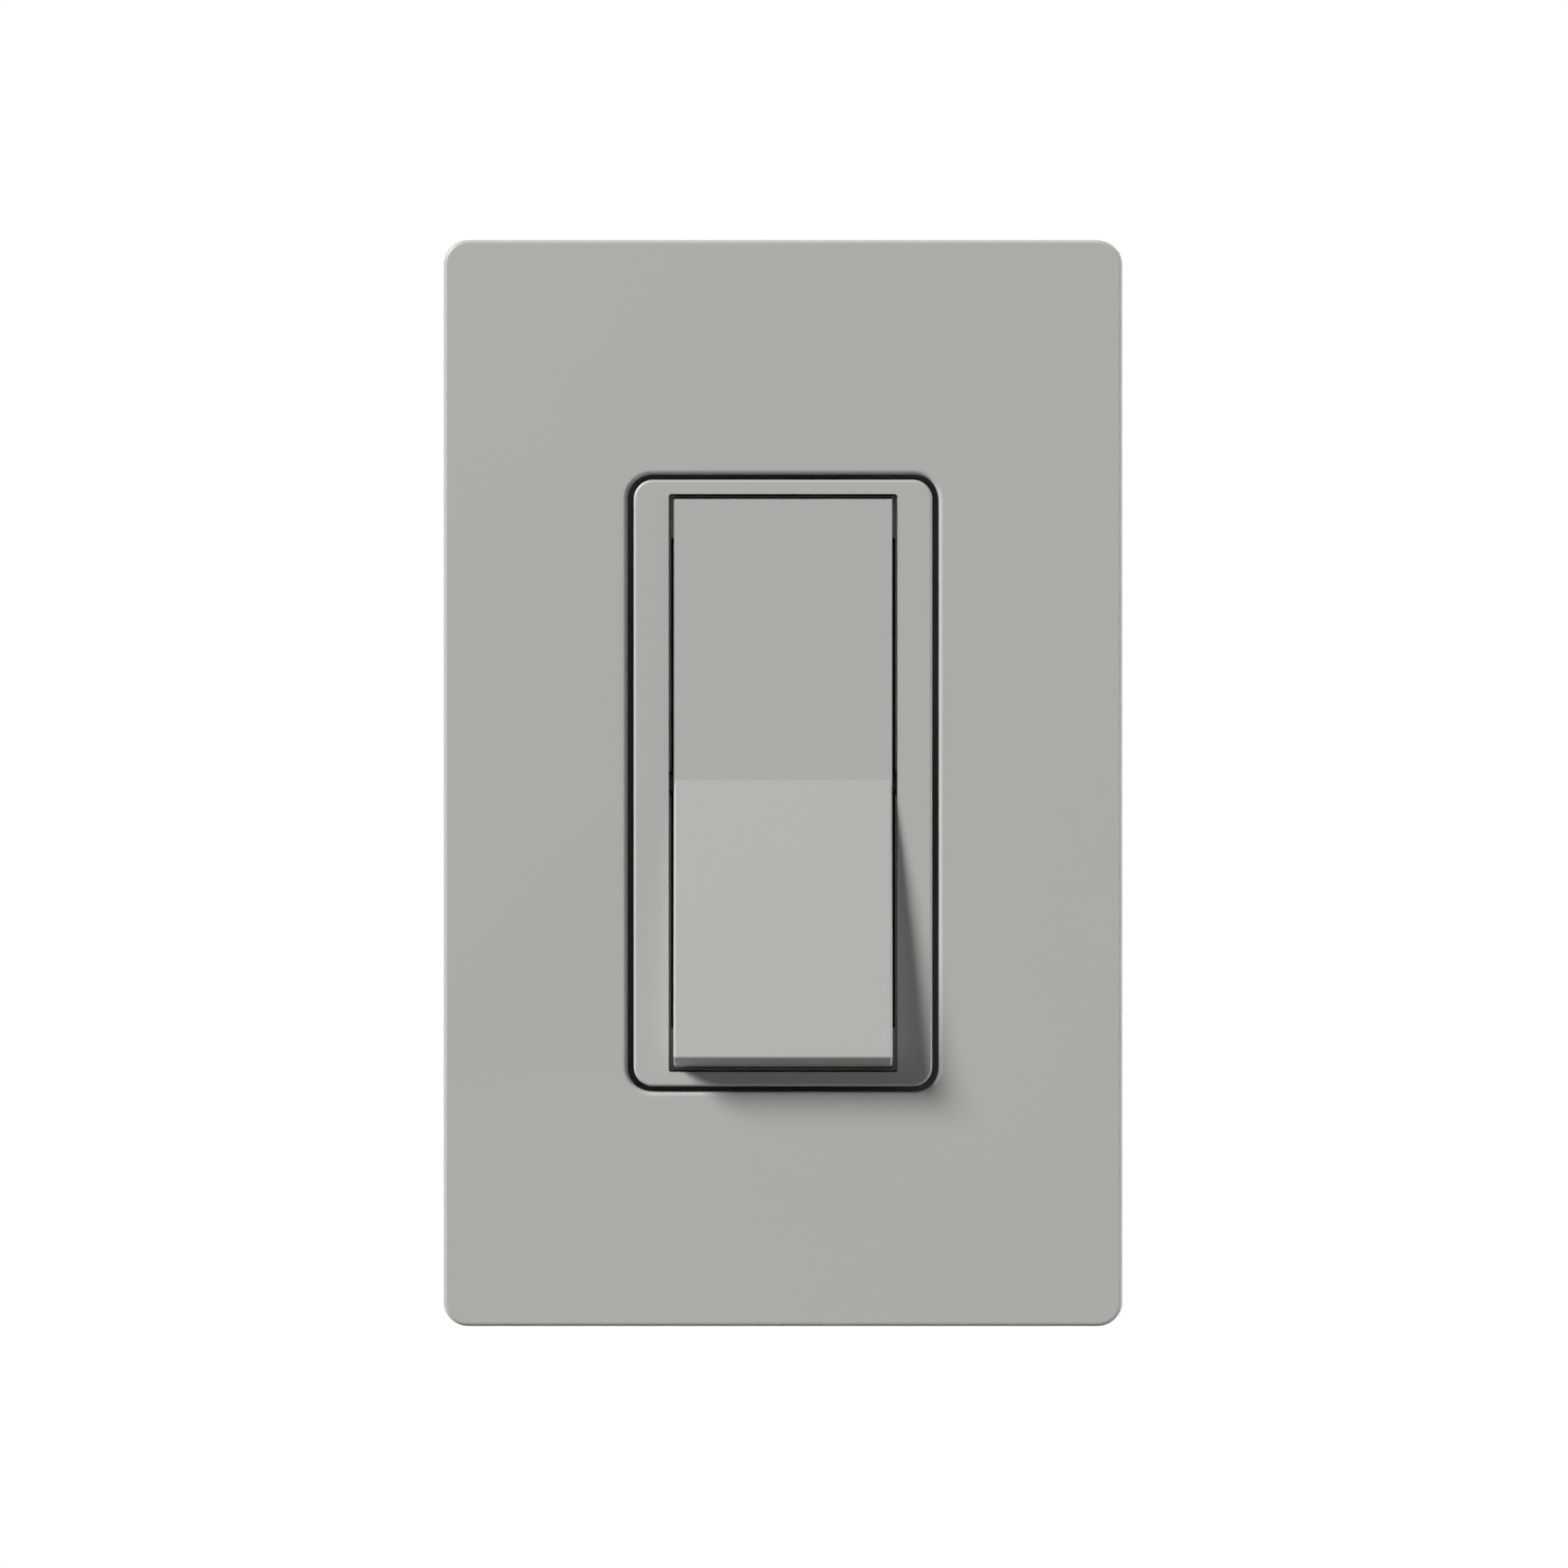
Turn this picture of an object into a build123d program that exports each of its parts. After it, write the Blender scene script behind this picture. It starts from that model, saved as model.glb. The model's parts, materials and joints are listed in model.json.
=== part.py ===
# Single-pole paddle switch behind a screwless wallplate.
# Millimetres. X runs to the right, Z up, and the viewer stands at minus Y.
# The wall's surface is Y = 0 and the origin lies midway between the two box screws.
# Distances in front of the wall are called heights, distances behind it depths.
# The paddle is drawn with its upper half pressed in, so the contacts are closed.

from build123d import *
import os
from math import cos, radians, sin, sqrt, tan

# Wallplate cover, which snaps over the adapter
plate_width = 74.5
plate_end_margin = 7.05
plate_depth = 7.6
plate_corner = 2.8
plate_draft = 0.8
plate_edge_round = 0.45
plate_face_wall = 2.0
plate_side_wall = 1.8
plate_inner_corner = 1.0
window_corner = 2.7
window_edge_round = 0.5
collar_wall = 1.4
collar_length = 1.6
cover_rib_wall = 0.9
cover_rib_depth = 1.2
cover_rib_pitch = 17.0
cover_end_rib_x = 12.0
snap_length = 8.0
snap_thickness = 0.9
snap_hook = 0.35
snap_play = 0.05
snap_side_z = 32.0
snap_end_x = 18.0
pry_slot_width = 8.0
pry_slot_depth = 1.2

# Adapter, which is screwed to the strap and carries the cover
adapter_gap = 0.3
adapter_thickness = 2.0
adapter_corner = 1.4
adapter_window_gap = 0.7
adapter_foot_inset = 1.75
adapter_foot_wall = 1.2
adapter_rib_wall = 1.0
adapter_rib_gap = 3.8
adapter_slot_width = 7.0
adapter_slot_height = 26.0
adapter_slot_z = 22.0
adapter_screw_offset = 6.73

# Steel mounting strap
strap_thickness = 1.2
strap_side_gap = 0.4
strap_stop_overlap = 4.45
strap_corner = 1.5
neck_width = 20.0
ear_overhang = 0.175
ear_height = 8.2
ear_corner = 2.5
ear_hole_radius = 1.9
ear_hole_inset = 4.1
ear_notch = 1.3
ear_notch_inset = 7.5
box_slot_length = 6.5
box_slot_width = 3.9
ground_tab_width = 8.0
ground_tab_reach = 9.0
ground_tab_gap = 5.325
ground_screw_depth = 5.0

# Screws, 6-32 where they are machine screws
screw_radius = 1.75
screw_neck_radius = 1.5
thread_fit = 0.03
box_screw_margin = 8.495
box_screw_length = 25.4
box_head_radius = 3.5
box_head_height = 2.2
box_head_clearance = 0.2
adapter_screw_length = 9.0
adapter_head_radius = 2.9
adapter_head_height = 1.3
terminal_screw_length = 5.6
terminal_head_radius = 3.75
terminal_head_height = 2.1
ground_screw_length = 6.0
assembly_screw_radius = 0.95
assembly_screw_grip = 4.5
assembly_head_radius = 1.7
assembly_head_height = 1.3
assembly_hole_play = 0.2
screw_slot_width = 1.0
screw_slot_share = 0.6
screw_hole_play = 0.15
retainer_size = 8.0
retainer_thickness = 0.45

# Bezel frame round the paddle
bezel_height_off_wall = 7.9
bezel_rail = 3.825
bezel_end_rail = 1.55
bezel_corner = 2.1
bezel_window_corner = 0.3
bezel_edge_round = 0.3
bezel_flange = 1.2
bezel_flange_thickness = 1.0
bezel_core_width = 1.5
bezel_core_length = 14.0
bezel_core_z = 14.5
bezel_core_depth = 4.2
window_gap_side = 0.7
window_gap_end = 0.62

# Paddle, a shallow V that rocks on two trunnions
paddle_width = 23.85
paddle_end_radius = 31.45
paddle_swing = 7.5
paddle_pivot_height = 2.6
paddle_rise = 0.3
paddle_side_gap = 0.575
paddle_end_gap = 0.175
paddle_stop_gap = 0.4
paddle_face_wall = 2.0
paddle_skirt = 1.5
paddle_edge_round = 0.25
paddle_rib_wall = 0.9
paddle_rib_pitch = 9.0
paddle_rib_x = 6.0
paddle_rib_depth = 2.2
trunnion_radius = 1.25
trunnion_length = 2.2
trunnion_play = 0.1
trunnion_end_gap = 0.25
trunnion_boss_radius = 2.1

# Sprung plunger inside the paddle's barrel
barrel_radius = 3.0
barrel_reach = 11.0
bore_play = 0.1
bore_floor = 0.5
plunger_radius = 1.7
plunger_tip_radius = 1.5
plunger_reach = 17.3
plunger_tail = 6.0
plunger_pin_radius = 0.85
plunger_pin_length = 2.5
spring_wire_radius = 0.2
spring_coil_radius = 1.35
spring_turns = 6

# See-saw contact and its contacts
rocker_tilt = 6.0
rocker_thickness = 0.8
rocker_width = 6.0
rocker_length = 23.0
rocker_end_round = 1.2
rocker_ear_radius = 0.95
rocker_ear_reach = 1.4
rocker_gap = 0.1
contact_radius = 2.0
contact_body = 0.8
contact_crown = 0.4
contact_stem_radius = 0.9
contact_stem_fit = 0.02
contact_peen_radius = 1.3
contact_peen = 0.3
contact_arm = 9.5
contact_gap = 0.1
fixed_contact_radius = 2.2
fixed_contact_height = 1.0

# Brass terminals
terminal_thickness = 1.0
terminal_end_inset = 12.0
terminal_height = 12.0
terminal_front = 3.0
terminal_screw_depth = 10.5
fulcrum_wall = 1.2
fulcrum_half_height = 2.2
fulcrum_lip = 1.3
fulcrum_play = 0.1
fulcrum_side_gap = 0.15
common_base_gap = 1.8
clamp_size = 9.0
clamp_gap = 0.1
clamp_thickness = 1.0

# Rear housing and the barrier plate in its mouth
housing_side_gap = 0.125
housing_end_inset = 3.175
housing_corner = 1.6
housing_edge_round = 0.8
housing_wall = 1.8
housing_terminal_wall = 3.0
housing_back_wall = 2.0
housing_floor_room = 4.1
housing_ledge = 0.8
housing_boss_radius = 2.4
assembly_inset = 2.8
well_width = 11.0
well_depth = 13.0
post_z = 9.5
post_height = 2.0
post_width = 5.0
post_gap = 0.1
barrier_thickness = 1.2
barrier_play = 0.1
barrier_slot_width = 8.0
barrier_slot_height = 10.0

# Push-in wire entries at the back
wire_hole_radius = 1.2
wire_hole_offset = 2.0
wire_gap = 0.1
wire_boss_radius = 2.3
wire_boss_height = 1.0
wire_chamfer = 0.4
release_slot_width = 2.6
release_slot_height = 1.2
release_slot_pitch = 4.3
leaf_thickness = 0.35
leaf_width = 4.0
leaf_back_gap = 0.3
leaf_rib_wall = 1.0
leaf_play = 0.05
leaf_stem_gap = 3.0
leaf_foot = 3.0
leaf_reach = 7.0
leaf_bend = 1.0
leaf_tip_gap = 0.15
gauge_length = 14.0
gauge_width = 3.0
gauge_depth = 0.4

# Heights and depths that follow from the stack of pieces
plate_inside = plate_depth - plate_face_wall
collar_back = plate_inside - collar_length
adapter_front = strap_thickness + adapter_thickness
half_swing = paddle_swing / 2
face_reach = bezel_height_off_wall + paddle_rise - paddle_pivot_height
crease_reach = face_reach / cos(radians(half_swing))
paddle_depth = bezel_height_off_wall + paddle_rise - strap_thickness - paddle_stop_gap
rocker_pivot_depth = plunger_reach + rocker_gap + rocker_thickness / 2 - paddle_pivot_height

# Widths and heights that follow from the paddle outwards. The box screws come to the
# standard 83.34 between centres.
bezel_window_width = paddle_width + 2 * paddle_side_gap
bezel_window_height = 2 * (paddle_end_radius + paddle_end_gap)
bezel_width = bezel_window_width + 2 * bezel_rail
bezel_height = bezel_window_height + 2 * bezel_end_rail
rail_x = (bezel_window_width + bezel_rail) / 2
window_width = bezel_width + 2 * window_gap_side
window_height = bezel_height + 2 * window_gap_end
box_screw_z = bezel_height / 2 + box_screw_margin
adapter_screw_z = box_screw_z + adapter_screw_offset
adapter_rib_z = adapter_screw_z - ear_height / 2 - adapter_rib_gap
strap_height = 2 * adapter_screw_z + ear_height
strap_window_height = 2 * (paddle_end_radius - strap_stop_overlap)
ear_width = bezel_width + 2 * ear_overhang
ear_hole_x = ear_width / 2 - ear_hole_inset
ear_notch_x = ear_width / 2 - ear_notch_inset
ground_tab_z = -bezel_height / 2 - ground_tab_gap
plate_height = strap_height + 2 * plate_end_margin
plate_inner_width = plate_width - 2 * plate_side_wall
plate_inner_height = plate_height - 2 * plate_side_wall
adapter_width = plate_inner_width - 2 * adapter_gap
adapter_height = plate_inner_height - 2 * adapter_gap
flange_width = bezel_width + 2 * bezel_flange
flange_height = bezel_height + 2 * bezel_flange
adapter_window_width = flange_width + 2 * adapter_window_gap
adapter_window_height = flange_height + 2 * adapter_window_gap
housing_width = bezel_width - 2 * housing_side_gap
housing_height = bezel_height - 2 * housing_end_inset
assembly_z = housing_height / 2 - assembly_inset
terminal_z = housing_height / 2 - terminal_end_inset
wire_hole_z = terminal_z + wire_hole_offset

# Where the contacts meet, with the see-saw tilted to its closed end
tilt = radians(rocker_tilt)
crown_radius = (contact_radius**2 + contact_crown**2) / (2 * contact_crown)
crown_centre = rocker_thickness / 2 + contact_body + contact_crown - crown_radius
moving_contact_back = (
    rocker_pivot_depth + crown_centre * cos(tilt) + contact_arm * sin(tilt) + crown_radius
)
fixed_contact_z = -contact_arm * cos(tilt)
fixed_contact_front = moving_contact_back + contact_gap
fixed_base_front = fixed_contact_front + fixed_contact_height
fixed_base_back = fixed_base_front + terminal_thickness
common_base_front = rocker_pivot_depth + common_base_gap
common_base_back = common_base_front + terminal_thickness
housing_floor = fixed_base_back + housing_floor_room
housing_depth = housing_floor + housing_back_wall
cavity_left = -housing_width / 2 + housing_wall
cavity_right = housing_width / 2 - housing_terminal_wall
cavity_x = (cavity_left + cavity_right) / 2
cavity_width = cavity_right - cavity_left
cavity_height = housing_height - 2 * housing_wall
flange_x = cavity_right - terminal_thickness
wire_x = flange_x - wire_hole_radius - wire_gap


def facing(height):
    """A plane that faces the viewer, this far in front of the wall."""
    return Plane.XZ.offset(height)


def side_view(depth, turn):
    """A side view about a pivot line: its x runs backwards, its y up, turned about X."""
    return Plane(origin=(0, depth, 0), x_dir=(0, 1, 0), z_dir=(1, 0, 0)).rotated((turn, 0, 0))


def front_view(depth, turn):
    """A front view through a pivot line, turned about X."""
    return Plane.XZ.offset(-depth).rotated((turn, 0, 0))


paddle_side = side_view(-paddle_pivot_height, -half_swing)
paddle_front = front_view(-paddle_pivot_height, -half_swing)
rocker_side = side_view(rocker_pivot_depth, rocker_tilt)
rocker_front = front_view(rocker_pivot_depth, rocker_tilt)


def screw(radius, length, head_radius, head_height, neck_length=0):
    """A slotted screw: its head sits on the XY plane and its shank runs down, under a neck if any."""
    with BuildPart() as blank:
        with BuildSketch():
            Circle(head_radius)
        extrude(amount=head_height)
        with BuildSketch(Plane.XY.offset(head_height)):
            Rectangle(3 * head_radius, screw_slot_width)
        extrude(amount=-screw_slot_share * head_height, mode=Mode.SUBTRACT)
        with BuildSketch():
            Circle(radius)
        extrude(amount=-length)
        if neck_length:
            with BuildSketch():
                Circle(radius)
                Circle(screw_neck_radius, mode=Mode.SUBTRACT)
            extrude(amount=-neck_length, mode=Mode.SUBTRACT)
    return blank.part


# Wallplate cover: a drafted shell with a collar round its window
with BuildPart() as wallplate_cover:
    with BuildSketch(facing(0)):
        RectangleRounded(plate_width, plate_height, plate_corner)
    extrude(amount=plate_depth, taper=plate_draft)
    fillet(wallplate_cover.faces().sort_by(Axis.Y)[0].edges(), plate_edge_round)
    with BuildSketch(facing(0)):
        RectangleRounded(plate_inner_width, plate_inner_height, plate_inner_corner)
    extrude(amount=plate_inside, mode=Mode.SUBTRACT)
    # The collar reaches back from the face, round the window
    collar_width = window_width + 2 * collar_wall
    collar_height = window_height + 2 * collar_wall
    with BuildSketch(facing(collar_back)):
        RectangleRounded(collar_width, collar_height, window_corner + collar_wall)
    extrude(amount=collar_length + plate_face_wall / 2)
    # Stiffening ribs tie the collar to the outer walls
    side_rib = (plate_inner_width - collar_width) / 2 + plate_side_wall / 2
    end_rib = (plate_inner_height - collar_height) / 2 + plate_side_wall / 2
    side_rib_x = (collar_width + side_rib) / 2
    end_rib_z = (collar_height + end_rib) / 2
    with BuildSketch(facing(plate_inside)):
        with GridLocations(2 * side_rib_x, cover_rib_pitch, 2, 3):
            Rectangle(side_rib, cover_rib_wall)
        with GridLocations(2 * cover_end_rib_x, 2 * end_rib_z, 2, 2):
            Rectangle(cover_rib_wall, end_rib)
    extrude(amount=-cover_rib_depth)
    with BuildSketch(facing(plate_depth)):
        RectangleRounded(window_width, window_height, window_corner)
    extrude(amount=-plate_depth, mode=Mode.SUBTRACT)
    window_edges = (
        wallplate_cover.faces().sort_by(Axis.Y)[0].inner_wires()[0].edges()
    )
    fillet(window_edges, window_edge_round)
    # Snap hooks inside the walls, which grip behind the adapter's edge
    snap_reach = adapter_gap + snap_hook
    snap_x = plate_inner_width / 2 - snap_reach / 2
    snap_z = plate_inner_height / 2 - snap_reach / 2
    with BuildSketch(facing(strap_thickness - snap_play)):
        with GridLocations(2 * snap_x, 2 * snap_side_z, 2, 2):
            Rectangle(snap_reach, snap_length)
        with GridLocations(2 * snap_end_x, 2 * snap_z, 2, 2):
            Rectangle(snap_length, snap_reach)
    extrude(amount=-snap_thickness)
    # Pry slot in the lower rim
    with BuildSketch(facing(0)):
        with Locations((0, -plate_height / 2)):
            Rectangle(pry_slot_width, 3 * plate_side_wall)
    extrude(amount=pry_slot_depth, mode=Mode.SUBTRACT)
wallplate_cover.part.label = "wallplate_cover"

# Wallplate adapter: a plate on the strap with a foot that stands on the wall
with BuildPart() as wallplate_adapter:
    with BuildSketch(facing(adapter_front)):
        RectangleRounded(adapter_width, adapter_height, adapter_corner)
        RectangleRounded(
            adapter_window_width, adapter_window_height, bezel_corner, mode=Mode.SUBTRACT
        )
        with Locations((0, box_screw_z), (0, -box_screw_z)):
            Circle(box_head_radius + box_head_clearance, mode=Mode.SUBTRACT)
        Rectangle(
            2 * (box_head_radius + box_head_clearance), 2 * box_screw_z, mode=Mode.SUBTRACT
        )
        with Locations((0, adapter_screw_z), (0, -adapter_screw_z)):
            Circle(screw_radius + screw_hole_play, mode=Mode.SUBTRACT)
        slot_x = (adapter_window_width + adapter_width) / 4
        with GridLocations(2 * slot_x, 2 * adapter_slot_z, 2, 2):
            RectangleRounded(
                adapter_slot_width, adapter_slot_height, adapter_corner, mode=Mode.SUBTRACT
            )
    extrude(amount=-adapter_thickness)
    foot_width = adapter_width - 2 * adapter_foot_inset
    foot_height = adapter_height - 2 * adapter_foot_inset
    with BuildSketch(facing(0)):
        RectangleRounded(foot_width, foot_height, adapter_corner)
        Rectangle(
            foot_width - 2 * adapter_foot_wall,
            foot_height - 2 * adapter_foot_wall,
            mode=Mode.SUBTRACT,
        )
    extrude(amount=strap_thickness + adapter_thickness / 2)
    # Ribs behind the plate run from the foot to the window and to the strap's neck
    middle_rib = (foot_width - adapter_window_width) / 2
    outer_rib = (foot_width - neck_width) / 2 - adapter_foot_wall
    outer_rib_x = neck_width / 2 + adapter_foot_wall + outer_rib / 2
    with BuildSketch(facing(strap_thickness / 4)):
        with GridLocations(foot_width - middle_rib, 0, 2, 1):
            Rectangle(middle_rib, adapter_rib_wall)
        with GridLocations(2 * outer_rib_x, 2 * adapter_rib_z, 2, 2):
            Rectangle(outer_rib, adapter_rib_wall)
    extrude(amount=strap_thickness)
wallplate_adapter.part.label = "wallplate_adapter"

# Screws that hold the adapter to the strap
adapter_screw = screw(
    screw_radius, adapter_screw_length, adapter_head_radius, adapter_head_height
)
with BuildPart() as adapter_screws:
    with Locations(facing(adapter_front)):
        with Locations((0, adapter_screw_z), (0, -adapter_screw_z)):
            add(adapter_screw)
adapter_screws.part.label = "adapter_screws"

# Bezel frame: the rim that stands in the wallplate's window
with BuildPart() as bezel_frame:
    with BuildSketch(facing(strap_thickness)):
        RectangleRounded(bezel_width, bezel_height, bezel_corner)
    extrude(amount=bezel_height_off_wall - strap_thickness)
    fillet(bezel_frame.faces().sort_by(Axis.Y)[0].edges(), bezel_edge_round)
    # A flange at its foot closes the gap round the bezel to the eye
    with BuildSketch(facing(strap_thickness)):
        RectangleRounded(flange_width, flange_height, bezel_corner + bezel_flange)
    extrude(amount=bezel_flange_thickness)
    with BuildSketch(facing(bezel_height_off_wall)):
        RectangleRounded(bezel_window_width, bezel_window_height, bezel_window_corner)
    extrude(amount=-bezel_height_off_wall, mode=Mode.SUBTRACT)
    # Open-backed seats for the trunnions
    seat_radius = trunnion_radius + trunnion_play
    seat_reach = paddle_width / 2 + trunnion_length + trunnion_end_gap
    with BuildSketch(Plane.YZ):
        with Locations((-paddle_pivot_height, 0)):
            Circle(seat_radius)
        with Locations((-paddle_pivot_height / 2, 0)):
            Rectangle(paddle_pivot_height, 2 * seat_radius)
    extrude(amount=seat_reach, both=True, mode=Mode.SUBTRACT)
    # Blind holes for the assembly screws, and cored pockets in the rails
    with BuildSketch(facing(strap_thickness)):
        with GridLocations(2 * rail_x, 2 * assembly_z, 2, 2):
            Circle(assembly_screw_radius + thread_fit)
    extrude(amount=assembly_screw_grip + assembly_hole_play, mode=Mode.SUBTRACT)
    with BuildSketch(facing(strap_thickness)):
        with GridLocations(2 * rail_x, 2 * bezel_core_z, 2, 2):
            SlotOverall(bezel_core_length, bezel_core_width, rotation=90)
    extrude(amount=bezel_core_depth, mode=Mode.SUBTRACT)
bezel_frame.part.label = "bezel_frame"


def half_point(back, along, side):
    """A point of the paddle's side view, measured square to its upper or lower half."""
    turn = radians(half_swing)
    return (back * cos(turn) - along * sin(turn), side * (back * sin(turn) + along * cos(turn)))


def paddle_outline(front, back, radius):
    """The V between two offsets from the pivot, closed by arcs round the pivot."""
    middle = (front + back) / 2
    corners = []
    for side in (1, -1):
        corners.append(half_point(front, sqrt(radius**2 - front**2), side))
        corners.append(half_point(middle, sqrt(radius**2 - middle**2), side))
        corners.append(half_point(back, sqrt(radius**2 - back**2), side))
    turn = cos(radians(half_swing))
    Polyline(corners[0], (front / turn, 0), corners[3])
    ThreePointArc(corners[3], corners[4], corners[5])
    Polyline(corners[5], (back / turn, 0), corners[2])
    ThreePointArc(corners[2], corners[1], corners[0])


# Paddle: the V-shaped rocker with its trunnions, barrel and ribs
face_inside = paddle_face_wall - face_reach
with BuildPart() as paddle:
    with BuildSketch(paddle_side):
        with BuildLine():
            paddle_outline(-face_reach, paddle_depth - face_reach, paddle_end_radius)
        make_face()
    extrude(amount=paddle_width / 2, both=True)
    # Round every front edge but the crease
    crease = paddle_side.from_local_coords(Vector(-crease_reach, 0, 0))
    fronts = paddle.faces().sort_by(Axis.Y)[0:2]
    front_edges = [
        edge
        for edge in fronts.edges()
        if (edge.center() - crease).length > paddle_edge_round
    ]
    fillet(front_edges, paddle_edge_round)
    # Trunnions, with a boss where they leave the skirt
    with BuildSketch(paddle_side):
        Circle(trunnion_boss_radius)
    extrude(amount=paddle_width / 2, both=True)
    with BuildSketch(paddle_side):
        Circle(trunnion_radius)
    extrude(amount=paddle_width / 2 + trunnion_length, both=True)
    # Hollow behind the face
    with BuildSketch(paddle_side):
        with BuildLine():
            paddle_outline(face_inside, paddle_depth, paddle_end_radius - paddle_skirt)
        make_face()
    extrude(amount=paddle_width / 2 - paddle_skirt, both=True, mode=Mode.SUBTRACT)
    # Two long ribs and a row of cross ribs
    for side in (-1, 1):
        with BuildSketch(paddle_side.offset(side * paddle_rib_x)):
            with BuildLine():
                paddle_outline(
                    face_inside - paddle_face_wall / 2,
                    face_inside + paddle_rib_depth,
                    paddle_end_radius - paddle_skirt / 2,
                )
            make_face()
        extrude(amount=paddle_rib_wall / 2, both=True)
    rib_rows = int((paddle_end_radius - paddle_skirt) / paddle_rib_pitch)
    for row in range(-rib_rows, rib_rows + 1):
        rib_up = row * paddle_rib_pitch
        rib_front = crease_reach + abs(rib_up) * tan(radians(half_swing)) - paddle_face_wall / 2
        with BuildSketch(paddle_front.offset(rib_front)):
            with Locations((0, rib_up)):
                Rectangle(paddle_width - paddle_skirt, paddle_rib_wall)
        extrude(amount=-paddle_rib_depth - paddle_face_wall / 2)
    # Barrel for the plunger, bored from its open end
    with BuildSketch(paddle_front.offset(-barrel_reach)):
        Circle(barrel_radius)
    extrude(amount=barrel_reach - face_inside + paddle_face_wall / 2)
    with BuildSketch(paddle_front.offset(-barrel_reach)):
        Circle(plunger_radius + bore_play)
    extrude(amount=barrel_reach - face_inside - bore_floor, mode=Mode.SUBTRACT)
paddle.part.label = "paddle"

# Plunger: turned pin with a round nose and a spring pilot on its tail
nose_centre = plunger_reach - plunger_tip_radius
nose_slope = plunger_tip_radius * sin(radians(45))
with BuildPart() as plunger:
    with BuildSketch(paddle_side):
        with BuildLine():
            Polyline(
                (plunger_reach, 0),
                (plunger_tail - plunger_pin_length, 0),
                (plunger_tail - plunger_pin_length, plunger_pin_radius),
                (plunger_tail, plunger_pin_radius),
                (plunger_tail, plunger_radius),
                (nose_centre - plunger_tip_radius / 2, plunger_radius),
                (nose_centre, plunger_tip_radius),
            )
            ThreePointArc(
                (nose_centre, plunger_tip_radius),
                (nose_centre + nose_slope, nose_slope),
                (plunger_reach, 0),
            )
        make_face()
    revolve(axis=Axis(paddle_side.origin, paddle_side.x_dir))
plunger.part.label = "plunger"

# Coil spring between the bore's floor and the plunger's shoulder
spring_front = face_inside + bore_floor + 2 * spring_wire_radius
spring_length = plunger_tail - spring_front - 2 * spring_wire_radius
spring_start = paddle_side.from_local_coords(Vector(spring_front, 0, 0))
with BuildPart() as plunger_spring:
    with BuildLine() as coil:
        Helix(
            spring_length / spring_turns,
            spring_length,
            spring_coil_radius,
            center=spring_start,
            direction=paddle_side.x_dir,
        )
    with BuildSketch(Plane(origin=coil.line @ 0, z_dir=coil.line % 0)):
        RegularPolygon(spring_wire_radius, 6)
    sweep(is_frenet=True)
plunger_spring.part.label = "plunger_spring"

# Mounting strap: one steel blank with a tab bent back for the ground screw
with BuildPart() as yoke_strap:
    with BuildSketch(facing(0)):
        RectangleRounded(bezel_width, bezel_height, strap_corner)
        Rectangle(neck_width, strap_height - ear_height)
        with Locations((0, adapter_screw_z), (0, -adapter_screw_z)):
            RectangleRounded(ear_width, ear_height, ear_corner)
        Rectangle(paddle_width + 2 * strap_side_gap, strap_window_height, mode=Mode.SUBTRACT)
        with Locations((0, box_screw_z), (0, -box_screw_z)):
            SlotOverall(box_slot_length, box_slot_width, mode=Mode.SUBTRACT)
        with Locations((0, adapter_screw_z), (0, -adapter_screw_z)):
            Circle(screw_radius + thread_fit, mode=Mode.SUBTRACT)
        with GridLocations(2 * ear_hole_x, 2 * adapter_screw_z, 2, 2):
            Circle(ear_hole_radius, mode=Mode.SUBTRACT)
        with GridLocations(2 * ear_notch_x, strap_height, 2, 2):
            Rectangle(ear_notch, ear_notch, rotation=45, mode=Mode.SUBTRACT)
        with GridLocations(2 * rail_x, 2 * assembly_z, 2, 2):
            Circle(assembly_screw_radius + assembly_hole_play, mode=Mode.SUBTRACT)
    extrude(amount=strap_thickness)
    with BuildSketch(facing(strap_thickness)):
        with Locations(((strap_thickness - neck_width) / 2, ground_tab_z)):
            Rectangle(strap_thickness, ground_tab_width)
    extrude(amount=-strap_thickness - ground_tab_reach)
    bend = yoke_strap.edges().filter_by(Axis.Z).sort_by_distance(
        (-neck_width / 2, -strap_thickness, ground_tab_z)
    )[0]
    fillet(bend, strap_thickness / 2)
    with BuildSketch(Plane.YZ.offset(-neck_width / 2)):
        with Locations((ground_screw_depth, ground_tab_z)):
            Circle(screw_radius + thread_fit)
    extrude(amount=strap_thickness, mode=Mode.SUBTRACT)
yoke_strap.part.label = "yoke_strap"

# Box screws through the strap's slots. The neck under the head holds the fibre washer.
box_neck_length = strap_thickness + retainer_thickness
box_screw = screw(
    screw_radius, box_screw_length, box_head_radius, box_head_height, box_neck_length
)
with BuildPart() as box_screws:
    with Locations(facing(strap_thickness)):
        with Locations((0, box_screw_z), (0, -box_screw_z)):
            add(box_screw)
box_screws.part.label = "box_screws"

# Square fibre washers that keep the box screws from dropping out
with BuildPart() as screw_retainers:
    with BuildSketch(facing(0)):
        with Locations((0, box_screw_z), (0, -box_screw_z)):
            Rectangle(retainer_size, retainer_size)
        with Locations((0, box_screw_z), (0, -box_screw_z)):
            Circle(screw_neck_radius + thread_fit, mode=Mode.SUBTRACT)
    extrude(amount=-retainer_thickness)
screw_retainers.part.label = "screw_retainers"

# Ground screw in the strap's bent tab
ground_blank = screw(
    screw_radius, ground_screw_length, terminal_head_radius, terminal_head_height
)
ground_seat = Plane(
    origin=(-neck_width / 2, ground_screw_depth, ground_tab_z), z_dir=(-1, 0, 0)
)
with BuildPart() as ground_screw:
    with Locations(ground_seat):
        add(ground_blank)
ground_screw.part.label = "ground_screw"

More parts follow.
